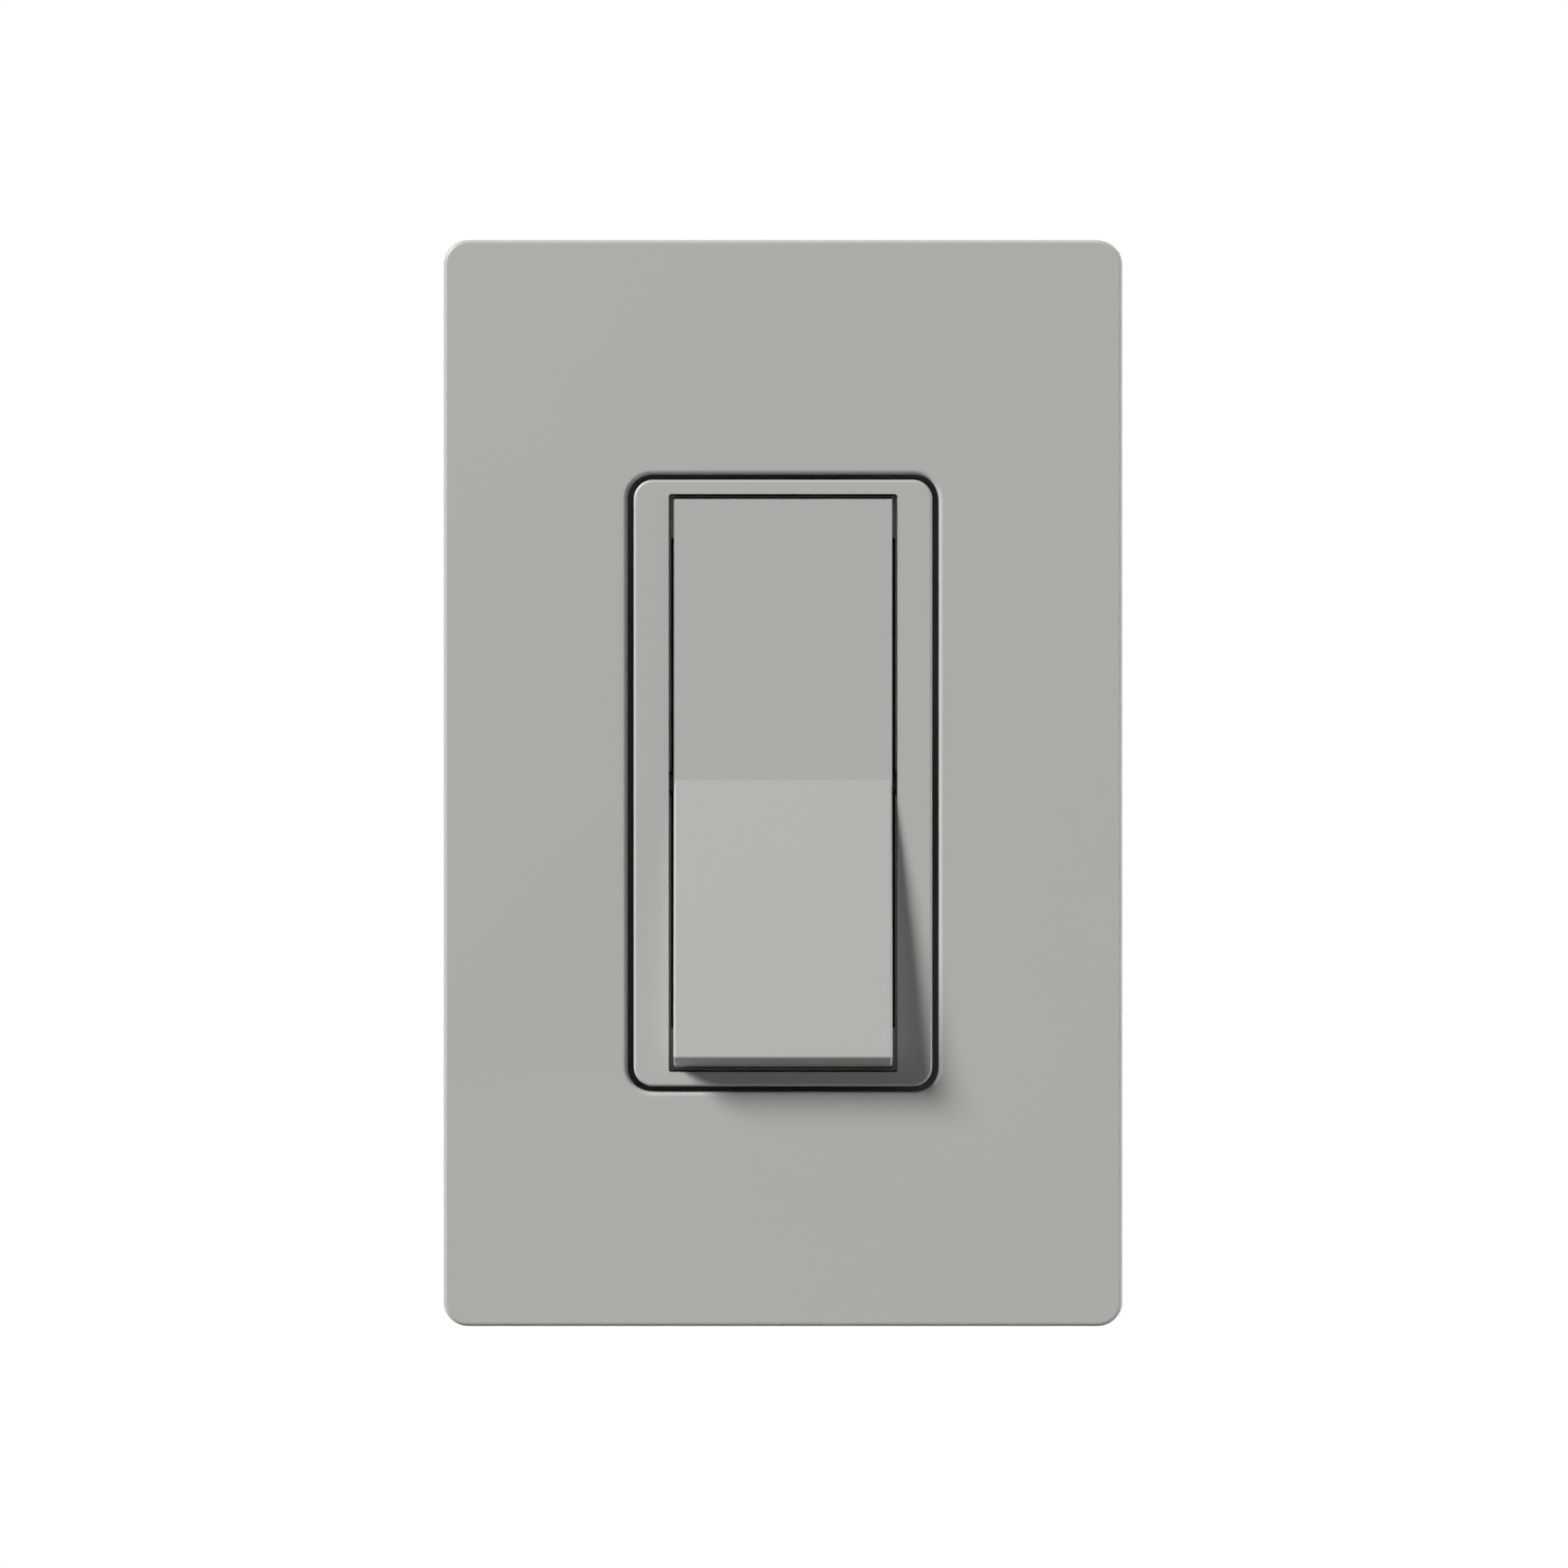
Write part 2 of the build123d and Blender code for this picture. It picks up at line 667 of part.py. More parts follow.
# Rear housing: a moulded box with wells, bosses, posts and wire entries
post_front = (
    rocker_pivot_depth
    + rocker_thickness / 2 / cos(tilt)
    + (post_z + post_height / 2) * tan(tilt)
    + post_gap
)
leaf_x = wire_x - release_slot_pitch - leaf_thickness / 2
with BuildPart() as rear_housing:
    with BuildSketch(facing(0)):
        RectangleRounded(housing_width, housing_height, housing_corner)
    extrude(amount=-housing_depth)
    fillet(rear_housing.faces().sort_by(Axis.Y)[-1].edges(), housing_edge_round)
    # The mouth has a ledge for the barrier plate, and both cuts leave corner bosses
    with BuildSketch(facing(0)):
        with Locations((cavity_x, 0)):
            Rectangle(cavity_width + 2 * housing_ledge, cavity_height + 2 * housing_ledge)
        with GridLocations(2 * rail_x, 2 * assembly_z, 2, 2):
            Circle(housing_boss_radius, mode=Mode.SUBTRACT)
    extrude(amount=-barrier_thickness - barrier_play, mode=Mode.SUBTRACT)
    with BuildSketch(facing(0)):
        with Locations((cavity_x, 0)):
            Rectangle(cavity_width, cavity_height)
        with GridLocations(2 * rail_x, 2 * assembly_z, 2, 2):
            Circle(housing_boss_radius, mode=Mode.SUBTRACT)
    extrude(amount=-housing_floor, mode=Mode.SUBTRACT)
    # Posts on the floor under the common base, the fixed base and the open stop
    with BuildSketch(facing(-common_base_back)):
        Rectangle(rocker_width + 2 * fulcrum_wall, 2 * fulcrum_half_height)
    extrude(amount=common_base_back - housing_floor)
    with BuildSketch(facing(-fixed_base_back)):
        with Locations((0, fixed_contact_z)):
            Rectangle(4 * fixed_contact_radius, 2 * fixed_contact_radius)
            Circle(contact_peen_radius + contact_peen, mode=Mode.SUBTRACT)
    extrude(amount=fixed_base_back - housing_floor)
    with BuildSketch(facing(-post_front)):
        with Locations((0, post_z)):
            Rectangle(post_width, post_height)
    extrude(amount=post_front - housing_floor)
    # Ribs that back the push-in springs
    leaf_rib_x = leaf_x - leaf_play - leaf_rib_wall / 2
    with BuildSketch(facing(-housing_floor)):
        with Locations((leaf_rib_x, wire_hole_z), (leaf_rib_x, -wire_hole_z)):
            Rectangle(leaf_rib_wall, leaf_width)
    extrude(amount=housing_floor / 2)
    # Wire entries, with a boss inside and a lead-in outside
    with BuildSketch(facing(-housing_floor)):
        with Locations((wire_x, wire_hole_z), (wire_x, -wire_hole_z)):
            Circle(wire_boss_radius)
    extrude(amount=wire_boss_height)
    with BuildSketch(facing(wire_boss_height - housing_floor)):
        with Locations((wire_x, wire_hole_z), (wire_x, -wire_hole_z)):
            Circle(wire_hole_radius)
    extrude(amount=-wire_boss_height - housing_back_wall, mode=Mode.SUBTRACT)
    wire_mouths = (
        rear_housing.edges()
        .filter_by(GeomType.CIRCLE)
        .filter_by(lambda edge: abs(edge.radius - wire_hole_radius) < 0.01)
        .group_by(Axis.Y)[-1]
    )
    chamfer(wire_mouths, wire_chamfer)
    # Release slots and the strip gauge
    with BuildSketch(facing(-housing_floor)):
        with GridLocations(0, 2 * wire_hole_z, 1, 2):
            with Locations((wire_x - release_slot_pitch, 0)):
                Rectangle(release_slot_height, release_slot_width)
    extrude(amount=-housing_back_wall, mode=Mode.SUBTRACT)
    with BuildSketch(facing(-housing_depth)):
        with Locations((cavity_left / 2, 0)):
            RectangleRounded(gauge_width, gauge_length, gauge_width / 4)
    extrude(amount=gauge_depth, mode=Mode.SUBTRACT)
    # Side wells for the terminal screws
    with BuildSketch(Plane.YZ.offset(cavity_right)):
        with Locations((terminal_screw_depth, terminal_z), (terminal_screw_depth, -terminal_z)):
            RectangleRounded(well_depth, well_width, housing_corner)
    extrude(amount=housing_terminal_wall, mode=Mode.SUBTRACT)
    # Through holes for the assembly screws
    with BuildSketch(facing(0)):
        with GridLocations(2 * rail_x, 2 * assembly_z, 2, 2):
            Circle(assembly_screw_radius + assembly_hole_play)
    extrude(amount=-housing_depth, mode=Mode.SUBTRACT)
rear_housing.part.label = "rear_housing"

# Barrier plate on the housing's ledge, with a slot for the barrel
with BuildPart() as barrier_plate:
    with BuildSketch(facing(0)):
        with Locations((cavity_x, 0)):
            Rectangle(
                cavity_width + 2 * (housing_ledge - barrier_play),
                cavity_height + 2 * (housing_ledge - barrier_play),
            )
        with GridLocations(2 * rail_x, 2 * assembly_z, 2, 2):
            Circle(housing_boss_radius + barrier_play, mode=Mode.SUBTRACT)
        Rectangle(barrier_slot_width, barrier_slot_height, mode=Mode.SUBTRACT)
    extrude(amount=-barrier_thickness)
barrier_plate.part.label = "barrier_plate"

# Common terminal: side flange, base strip and the two fulcrum lugs
lug_x = rocker_width / 2 + fulcrum_side_gap + fulcrum_wall / 2
flange_top = terminal_z + terminal_height / 2
flange_foot = terminal_z - terminal_height / 2
with BuildPart() as common_terminal:
    with BuildSketch(Plane.YZ.offset(flange_x)):
        with BuildLine():
            Polyline(
                (terminal_front, flange_foot),
                (terminal_front, flange_top),
                (common_base_back, flange_top),
                (common_base_back, -fulcrum_half_height),
                (common_base_front - 2 * terminal_thickness, -fulcrum_half_height),
                (common_base_front - 2 * terminal_thickness, flange_foot),
                close=True,
            )
        make_face()
        with Locations((terminal_screw_depth, terminal_z)):
            Circle(screw_radius + thread_fit, mode=Mode.SUBTRACT)
    extrude(amount=terminal_thickness)
    base_left = -lug_x - fulcrum_wall / 2
    with BuildSketch(facing(-common_base_front)):
        with Locations(((base_left + cavity_right) / 2, 0)):
            Rectangle(cavity_right - base_left, 2 * fulcrum_half_height)
    extrude(amount=-terminal_thickness)
    notch_radius = rocker_ear_radius + fulcrum_play
    lug_front = rocker_pivot_depth - fulcrum_lip
    for side in (-1, 1):
        with BuildSketch(Plane.YZ.offset(side * lug_x)):
            with Locations(((lug_front + common_base_back) / 2, 0)):
                Rectangle(common_base_back - lug_front, 2 * fulcrum_half_height)
            with Locations((rocker_pivot_depth, 0)):
                Circle(notch_radius, mode=Mode.SUBTRACT)
            with Locations((rocker_pivot_depth - fulcrum_lip / 2, 0)):
                Rectangle(fulcrum_lip, 2 * notch_radius, mode=Mode.SUBTRACT)
        extrude(amount=fulcrum_wall / 2, both=True)
common_terminal.part.label = "common_terminal"

# Fixed terminal: side flange and the base strip under the fixed contact
with BuildPart() as fixed_terminal:
    with BuildSketch(Plane.YZ.offset(flange_x)):
        with BuildLine():
            Polyline(
                (terminal_front, -flange_foot),
                (terminal_front, -flange_top),
                (fixed_base_back, -flange_top),
                (fixed_base_back, fixed_contact_z + fixed_contact_radius),
                (fixed_base_front - terminal_thickness, fixed_contact_z + fixed_contact_radius),
                (fixed_base_front - terminal_thickness, -flange_foot),
                close=True,
            )
        make_face()
        with Locations((terminal_screw_depth, -terminal_z)):
            Circle(screw_radius + thread_fit, mode=Mode.SUBTRACT)
    extrude(amount=terminal_thickness)
    base_left = -fixed_contact_radius - terminal_thickness / 2
    with BuildSketch(facing(-fixed_base_front)):
        with Locations(((base_left + cavity_right) / 2, fixed_contact_z)):
            Rectangle(cavity_right - base_left, 2 * fixed_contact_radius)
        with Locations((0, fixed_contact_z)):
            Circle(contact_stem_radius + contact_stem_fit, mode=Mode.SUBTRACT)
    extrude(amount=-terminal_thickness)
fixed_terminal.part.label = "fixed_terminal"

# Fixed contact: a rivet whose head faces the see-saw
with BuildPart() as fixed_contact:
    with BuildSketch(facing(-fixed_contact_front)):
        with Locations((0, fixed_contact_z)):
            Circle(fixed_contact_radius)
    extrude(amount=-fixed_contact_height)
    with BuildSketch(facing(-fixed_base_front)):
        with Locations((0, fixed_contact_z)):
            Circle(contact_stem_radius)
    extrude(amount=-terminal_thickness - contact_peen)
    with BuildSketch(facing(-fixed_base_back)):
        with Locations((0, fixed_contact_z)):
            Circle(contact_peen_radius)
    extrude(amount=-contact_peen)
fixed_contact.part.label = "fixed_contact"

# See-saw contact: a copper strip that rocks on its two round ears
with BuildPart() as contact_rocker:
    with BuildSketch(rocker_front.offset(-rocker_thickness / 2)):
        RectangleRounded(rocker_width, rocker_length, rocker_end_round)
        with Locations((0, -contact_arm)):
            Circle(contact_stem_radius + contact_stem_fit, mode=Mode.SUBTRACT)
    extrude(amount=rocker_thickness)
    for side in (-1, 1):
        with BuildSketch(rocker_side.offset(side * (rocker_width / 2 - rocker_thickness / 2))):
            Circle(rocker_ear_radius)
        extrude(amount=side * (rocker_ear_reach + rocker_thickness / 2))
contact_rocker.part.label = "contact_rocker"

# Moving contact: a crowned rivet at the see-saw's lower end
contact_seat = rocker_thickness / 2
contact_edge = contact_seat + contact_body
contact_back = contact_edge + contact_crown
contact_side = Plane(
    origin=rocker_side.from_local_coords(Vector(0, -contact_arm, 0)),
    x_dir=rocker_side.x_dir,
    z_dir=rocker_side.z_dir,
)
crown_middle = crown_centre + sqrt(crown_radius**2 - contact_radius**2 / 4)
with BuildPart() as moving_contact:
    with BuildSketch(contact_side):
        with BuildLine():
            Polyline(
                (contact_back, 0),
                (-contact_seat - contact_peen, 0),
                (-contact_seat - contact_peen, contact_peen_radius),
                (-contact_seat, contact_peen_radius),
                (-contact_seat, contact_stem_radius),
                (contact_seat, contact_stem_radius),
                (contact_seat, contact_radius),
                (contact_edge, contact_radius),
            )
            ThreePointArc(
                (contact_edge, contact_radius),
                (crown_middle, contact_radius / 2),
                (contact_back, 0),
            )
        make_face()
    revolve(axis=Axis(contact_side.origin, contact_side.x_dir))
moving_contact.part.label = "moving_contact"

# Clamp plates under the heads of the terminal screws
clamp_x = cavity_right + clamp_gap
with BuildPart() as clamp_plates:
    with BuildSketch(Plane.YZ.offset(clamp_x)):
        with Locations((terminal_screw_depth, terminal_z), (terminal_screw_depth, -terminal_z)):
            Rectangle(clamp_size, clamp_size)
            Circle(screw_radius + screw_hole_play, mode=Mode.SUBTRACT)
    extrude(amount=clamp_thickness)
clamp_plates.part.label = "clamp_plates"

# Brass terminal screws in the side wells
terminal_blank = screw(
    screw_radius, terminal_screw_length, terminal_head_radius, terminal_head_height
)
terminal_seat = Plane(
    origin=(clamp_x + clamp_thickness, terminal_screw_depth, 0), x_dir=(0, 1, 0), z_dir=(1, 0, 0)
)
with BuildPart() as terminal_screws:
    with Locations(terminal_seat):
        with Locations((0, terminal_z), (0, -terminal_z)):
            add(terminal_blank)
terminal_screws.part.label = "terminal_screws"

# Push-in springs: leaves bent double, whose free arm slants towards the flange
leaf_rear = housing_floor - wire_boss_height - leaf_back_gap
with BuildPart() as push_in_springs:
    for level in (wire_hole_z, -wire_hole_z):
        with BuildSketch(Plane.XY.offset(level - leaf_width / 2)):
            with BuildLine() as leaf:
                FilletPolyline(
                    (leaf_x + leaf_thickness / 2, terminal_screw_depth + leaf_stem_gap),
                    (leaf_x + leaf_thickness / 2, leaf_rear),
                    (leaf_x + leaf_foot, leaf_rear),
                    (flange_x - leaf_tip_gap - leaf_thickness / 2, leaf_rear - leaf_reach),
                    radius=leaf_bend,
                )
            trace(line_width=leaf_thickness)
        extrude(amount=leaf_width)
push_in_springs.part.label = "push_in_springs"

# Assembly screws from the back, through the housing and the strap into the bezel
assembly_blank = screw(
    assembly_screw_radius,
    housing_depth + strap_thickness + assembly_screw_grip,
    assembly_head_radius,
    assembly_head_height,
)
assembly_seat = Plane(origin=(0, housing_depth, 0), x_dir=(1, 0, 0), z_dir=(0, 1, 0))
with BuildPart() as assembly_screws:
    with Locations(assembly_seat):
        with GridLocations(2 * rail_x, 2 * assembly_z, 2, 2):
            add(assembly_blank)
assembly_screws.part.label = "assembly_screws"

os.makedirs("parts", exist_ok=True)
for piece in (
    wallplate_cover,
    wallplate_adapter,
    adapter_screws,
    bezel_frame,
    paddle,
    plunger,
    plunger_spring,
    yoke_strap,
    box_screws,
    screw_retainers,
    ground_screw,
    rear_housing,
    barrier_plate,
    common_terminal,
    fixed_terminal,
    fixed_contact,
    contact_rocker,
    moving_contact,
    clamp_plates,
    terminal_screws,
    push_in_springs,
    assembly_screws,
):
    export_step(piece.part, f"parts/{piece.part.label}.step")
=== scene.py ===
# %% [markdown]
# # A paddle switch behind a screwless wallplate
# This lesson dresses a light switch that was built in CAD. The CAD model is
# a fixed frame: its pieces keep their size and place, and each one is given
# the finish of the real moulded, plated or turned piece. The screws and the
# plunger's spring are modelled again, because threads and round wire are fine
# forms that CAD left off.

# %% Load the frame
import json
from math import cos, pi, radians, sin

import bpy
from mathutils import Matrix, Vector


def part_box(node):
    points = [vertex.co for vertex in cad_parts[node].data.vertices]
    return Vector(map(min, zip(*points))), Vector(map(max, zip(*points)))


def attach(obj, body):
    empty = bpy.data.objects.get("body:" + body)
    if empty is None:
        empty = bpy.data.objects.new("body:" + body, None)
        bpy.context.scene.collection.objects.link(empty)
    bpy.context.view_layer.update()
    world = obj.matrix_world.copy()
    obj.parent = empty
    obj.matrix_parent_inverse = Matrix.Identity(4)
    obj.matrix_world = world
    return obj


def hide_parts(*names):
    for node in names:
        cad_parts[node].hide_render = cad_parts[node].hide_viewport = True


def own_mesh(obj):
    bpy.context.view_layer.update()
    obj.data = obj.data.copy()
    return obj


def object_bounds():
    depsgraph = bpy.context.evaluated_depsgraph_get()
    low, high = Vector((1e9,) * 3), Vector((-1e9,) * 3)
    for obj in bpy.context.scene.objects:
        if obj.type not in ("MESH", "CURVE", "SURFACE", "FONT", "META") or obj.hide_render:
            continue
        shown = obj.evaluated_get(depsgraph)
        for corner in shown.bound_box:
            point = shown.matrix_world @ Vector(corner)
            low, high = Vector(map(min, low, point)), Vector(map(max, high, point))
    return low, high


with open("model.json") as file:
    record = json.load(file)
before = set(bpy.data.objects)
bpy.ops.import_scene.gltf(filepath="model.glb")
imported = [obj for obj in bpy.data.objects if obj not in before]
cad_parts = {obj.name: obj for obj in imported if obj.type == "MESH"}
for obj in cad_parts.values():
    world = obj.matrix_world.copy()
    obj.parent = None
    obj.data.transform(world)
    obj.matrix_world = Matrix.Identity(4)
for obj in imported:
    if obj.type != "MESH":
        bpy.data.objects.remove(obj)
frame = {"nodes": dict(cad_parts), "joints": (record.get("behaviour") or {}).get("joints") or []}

mm = 0.001
nodes = frame["nodes"]
cad_low, cad_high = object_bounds()
print("CAD box", [round(v, 4) for v in (*cad_low, *cad_high)])

# %% [markdown]
# ## The camera
# The photograph looks straight at the plate and shows no perspective, as a
# long lens does from far away. So the camera has a long lens, and its
# distance follows from how many pixels of the picture the plate fills.

# %% Camera
photo_side_px = 1600
plate_size_px = (694, 1112)
plate_centre_px = (799, 799)
lens_mm = 200
sensor_mm = 36

plate_low, plate_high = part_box("wallplate_cover")
plate_size = plate_high - plate_low
pixel = (plate_size.x / plate_size_px[0] + plate_size.z / plate_size_px[1]) / 2
camera_distance = lens_mm / sensor_mm * photo_side_px * pixel

camera_data = bpy.data.cameras.new("camera")
camera_data.lens = lens_mm
camera_data.sensor_width = sensor_mm
camera = bpy.data.objects.new("camera", camera_data)
bpy.context.scene.collection.objects.link(camera)
camera.location = (
    (photo_side_px / 2 - plate_centre_px[0]) * pixel,
    plate_low.y - camera_distance,
    (plate_centre_px[1] - photo_side_px / 2) * pixel,
)
camera.rotation_euler = (pi / 2, 0, 0)
bpy.context.scene.camera = camera
print("camera distance", round(camera_distance, 4), "m, pixel", round(pixel / mm, 5), "mm")

# %% [markdown]
# ## Light
# The shadows in the photograph run down and to the right, a little longer
# than the paddle stands proud, so the key lamp is at the upper left in front.
# It is large, because the shadows end softly, and far away, because the plate
# is evenly lit. Two rim lamps in the plate's own plane light the rounded edges
# that face right and down, and hardly anything else. One more lamp lights the
# back, which the photograph doesn't show. The world fills the shadows to about
# a quarter of the lit tone.

# %% Lamps
bpy.context.scene.view_settings.view_transform = "Standard"


def softbox(name, direction, distance, size, power):
    """An area lamp in a direction from the plate's middle, turned to face it."""
    lamp = bpy.data.lights.new(name, "AREA")
    lamp.shape = "DISK"
    lamp.size = size
    lamp.energy = power
    away = Vector(direction).normalized()
    holder = bpy.data.objects.new(name, lamp)
    holder.location = away * distance
    holder.rotation_mode = "QUATERNION"
    holder.rotation_quaternion = away.to_track_quat("Z", "Y")
    bpy.context.scene.collection.objects.link(holder)
    print(name, "at", [round(v, 3) for v in holder.location])
    return holder


key_lamp = softbox("key_lamp", (-1.36, -1, 1.12), distance=5.2, size=1.9, power=455)
key_lamp.data.color = (0.985, 1.0, 0.99)
softbox("right_rim", (1, -0.02, 0), distance=1.8, size=0.8, power=28)
softbox("low_rim", (0, -0.02, -1), distance=1.8, size=0.8, power=44)
softbox("back_key", (0.8, 1, 0.9), distance=1.8, size=1.6, power=27)

# %% [markdown]
# ## Shader maths
# A material's values are easier to read as sums than as a web of nodes. This
# small class wraps a socket, and every operator on it adds one Math node.

# %% Sockets


class Socket:
    """One output socket, with arithmetic that adds Math nodes."""

    def __init__(self, recipe, socket):
        self.recipe = recipe
        self.socket = socket

    def maths(self, operation, *values):
        settings = {"operation": operation}
        return self.recipe.node("ShaderNodeMath", settings, dict(enumerate(values)))

    def __add__(self, other):
        return self.maths("ADD", self, other)

    def __radd__(self, other):
        return self.maths("ADD", other, self)

    def __sub__(self, other):
        return self.maths("SUBTRACT", self, other)

    def __mul__(self, other):
        return self.maths("MULTIPLY", self, other)

    def __rmul__(self, other):
        return self.maths("MULTIPLY", other, self)

    def __truediv__(self, other):
        return self.maths("DIVIDE", self, other)

    def larger(self, other):
        """The larger of two values, which for two switches means either of them."""
        return self.maths("MAXIMUM", self, other)


# %% [markdown]
# A recipe is a node tree in the making. Its node method sets a new node's own
# settings first and then its sockets. A material's recipe adds the shader and
# the textures that vary it.

# %% Recipes


class Recipe:
    """The node tree of a material or a world, and the method that adds nodes."""

    def __init__(self, owner):
        owner.use_nodes = True
        self.tree = owner.node_tree
        self.tree.nodes.clear()

    def put(self, target, value):
        """Sets a socket's constant, or links another node's output to it."""
        if isinstance(value, Socket):
            self.tree.links.new(value.socket, target)
        else:
            target.default_value = value

    def node(self, kind, settings=None, inputs=None, out=0):
        made = self.tree.nodes.new(kind)
        for name, value in (settings or {}).items():
            if name == "stops":
                ramp = made.color_ramp
                while len(ramp.elements) < len(value):
                    ramp.elements.new(0.5)
                for element, (place, tone) in zip(ramp.elements, value):
                    element.position = place
                    element.color = (tone, tone, tone, 1)
            else:
                setattr(made, name, value)
        for name, value in (inputs or {}).items():
            self.put(made.inputs[name], value)
        return Socket(self, made.outputs[out])

    def ray(self, kind):
        """A switch that is on for one kind of ray, such as Camera or Glossy."""
        return self.node("ShaderNodeLightPath", out=f"Is {kind} Ray")


class MaterialRecipe(Recipe):
    """A material in the making: its shader, and the textures that vary it."""

    def __init__(self, name):
        self.material = bpy.data.materials.new(name)
        super().__init__(self.material)
        self.shader = self.tree.nodes.new("ShaderNodeBsdfPrincipled")
        self.output = self.tree.nodes.new("ShaderNodeOutputMaterial")
        self.surface = Socket(self, self.shader.outputs[0])
        self.put(self.output.inputs["Surface"], self.surface)

    def set(self, **values):
        """Sets the shader's sockets, named in lower case with underscores."""
        for name, value in values.items():
            title = name.replace("_", " ").title().replace("Ior", "IOR")
            self.put(self.shader.inputs[title], value)

    def place(self, stretch=(1, 1, 1)):
        """Object coordinates in metres, stretched to run with a finish."""
        where = self.node("ShaderNodeTexCoord", out="Object")
        return self.node("ShaderNodeMapping", None, {"Vector": where, "Scale": stretch})

    def noise(self, size, detail=2.0, roughness=0.5, where=None):
        """Noise of a given grain size in metres, from 0 to 1."""
        sockets = {"Scale": 1 / size, "Detail": detail, "Roughness": roughness}
        sockets["Vector"] = where or self.place()
        return self.node("ShaderNodeTexNoise", None, sockets)

    def mix(self, factor, first, second):
        """A colour between two colours, each a triple or another node's output."""
        sockets = {0: factor}
        for place, tone in ((6, first), (7, second)):
            sockets[place] = tone if isinstance(tone, Socket) else (*tone, 1)
        return self.node("ShaderNodeMix", {"data_type": "RGBA"}, sockets, out=2)

    def ramp(self, value, *stops):
        """A grey ramp of (place, tone) stops."""
        return self.node("ShaderNodeValToRGB", {"stops": stops}, {"Fac": value})

    def bump(self, height, depth):
        """Turns a height from 0 to 1 into a normal, for a relief this deep in metres."""
        sockets = {"Height": height, "Distance": depth, "Strength": 1.0}
        return self.node("ShaderNodeBump", None, sockets)


def shade(tone, factor):
    """A colour made lighter or darker."""
    return tuple(channel * factor for channel in tone)


# %% [markdown]
# ## Background
# The photograph's background is pure white. A white that only camera and
# transmission rays see gives that without adding light. Metal mirrors a darker
# white, darkest towards the camera, where a studio has no white wall, so that
# what lies deep in the gaps stays dark. All other rays meet a weak fill with
# a slight tint.

# %% World
white = (1, 1, 1, 1)
fill_tint = (1.0, 0.90, 0.94, 1)
fill_strength = 0.115
mirrored_front = 0.36
mirrored_behind = 0.5
front_until = -0.8

world = bpy.data.worlds.new("studio")
bpy.context.scene.world = world
sky = Recipe(world)
direction = sky.node("ShaderNodeTexCoord", out="Generated")
mirrored = sky.node(
    "ShaderNodeMapRange",
    {"interpolation_type": "SMOOTHSTEP"},
    {
        "Value": sky.node("ShaderNodeSeparateXYZ", None, {0: direction}, out="Y"),
        "From Min": front_until,
        "From Max": 0,
        "To Min": mirrored_front,
        "To Max": mirrored_behind,
    },
)
seen = sky.ray("Camera").larger(sky.ray("Transmission"))
backdrop = sky.node(
    "ShaderNodeBackground", None, {"Color": white, "Strength": seen.larger(mirrored)}
)
ambient = sky.node(
    "ShaderNodeBackground", None, {"Color": fill_tint, "Strength": fill_strength}
)
choice = sky.node(
    "ShaderNodeMixShader", None, {0: seen.larger(sky.ray("Glossy")), 1: ambient, 2: backdrop}
)
sky.put(sky.tree.nodes.new("ShaderNodeOutputWorld").inputs["Surface"], choice)
print("world fill", fill_strength, "mirrored white", mirrored_front, "to", mirrored_behind)

# %% [markdown]
# ## Floor
# The floor lies below the picture's lower edge, and fades to white before its
# rim, so that views from the side have a ground with a soft shadow and no
# horizon. Seen from below, it hides a part of the switch.

# %% Floor
floor_drop = 0.10
floor_radius = 0.42
floor_sides = 96
floor_middle_y = 0.02
floor_tone = (0.82, 0.82, 0.82, 1)
fade_from = 0.35
fade_to = 0.92

bpy.ops.object.select_all(action="DESELECT")
bpy.ops.mesh.primitive_circle_add(vertices=floor_sides, radius=floor_radius, fill_type="NGON")
floor = bpy.context.object
floor.name = "floor"
floor.location = (0, floor_middle_y, cad_low.z - floor_drop)
floor.visible_diffuse = False

ground = MaterialRecipe("pale_floor")
ground.set(base_color=floor_tone, roughness=0.9)
spot = ground.node("ShaderNodeTexCoord", out="Object")
distance = ground.node("ShaderNodeVectorMath", {"operation": "LENGTH"}, {0: spot}, out="Value")
fade = ground.ramp(distance / floor_radius, (fade_from, 0.0), (fade_to, 1.0))
glow = ground.node("ShaderNodeEmission", None, {"Color": white, "Strength": 1.0})
shown = ground.ray("Camera").larger(ground.ray("Glossy"))
blended = ground.node(
    "ShaderNodeMixShader", None, {0: fade * shown, 1: ground.surface, 2: glow}
)
ground.put(ground.output.inputs["Surface"], blended)
floor.data.materials.append(ground.material)
print("floor", floor_drop, "m below the plate, radius", floor_radius, "m")

# %% [markdown]
# ## Moulded plastics
# The cover, the bezel and the paddle are moulded in one grey thermoplastic
# with a satin skin. Such a skin is not flat: it has a very fine grain, and
# slow changes of gloss where the melt cooled. Both are small, because the
# photograph shows almost even tones.

# %% Plastics
grey = (0.413, 0.413, 0.392)
filler_tone = (0.16, 0.16, 0.155)


def satin_plastic(name, tone, gloss, grain, grain_depth):
    """A moulded skin: even colour, fine grain and slowly changing gloss."""
    skin = MaterialRecipe(name)
    clouds = skin.noise(35 * mm, detail=3.0)
    specks = skin.noise(0.6 * mm, detail=3.0)
    colour = skin.mix(clouds, shade(tone, 0.985), shade(tone, 1.012))
    skin.set(base_color=colour, specular_ior_level=0.5, ior=1.49)
    skin.set(roughness=gloss + 0.06 * (clouds - 0.5) + 0.05 * (specks - 0.5))
    fine = skin.noise(grain, detail=1.0)
    skin.set(normal=skin.bump(fine, grain_depth))
    return skin.material


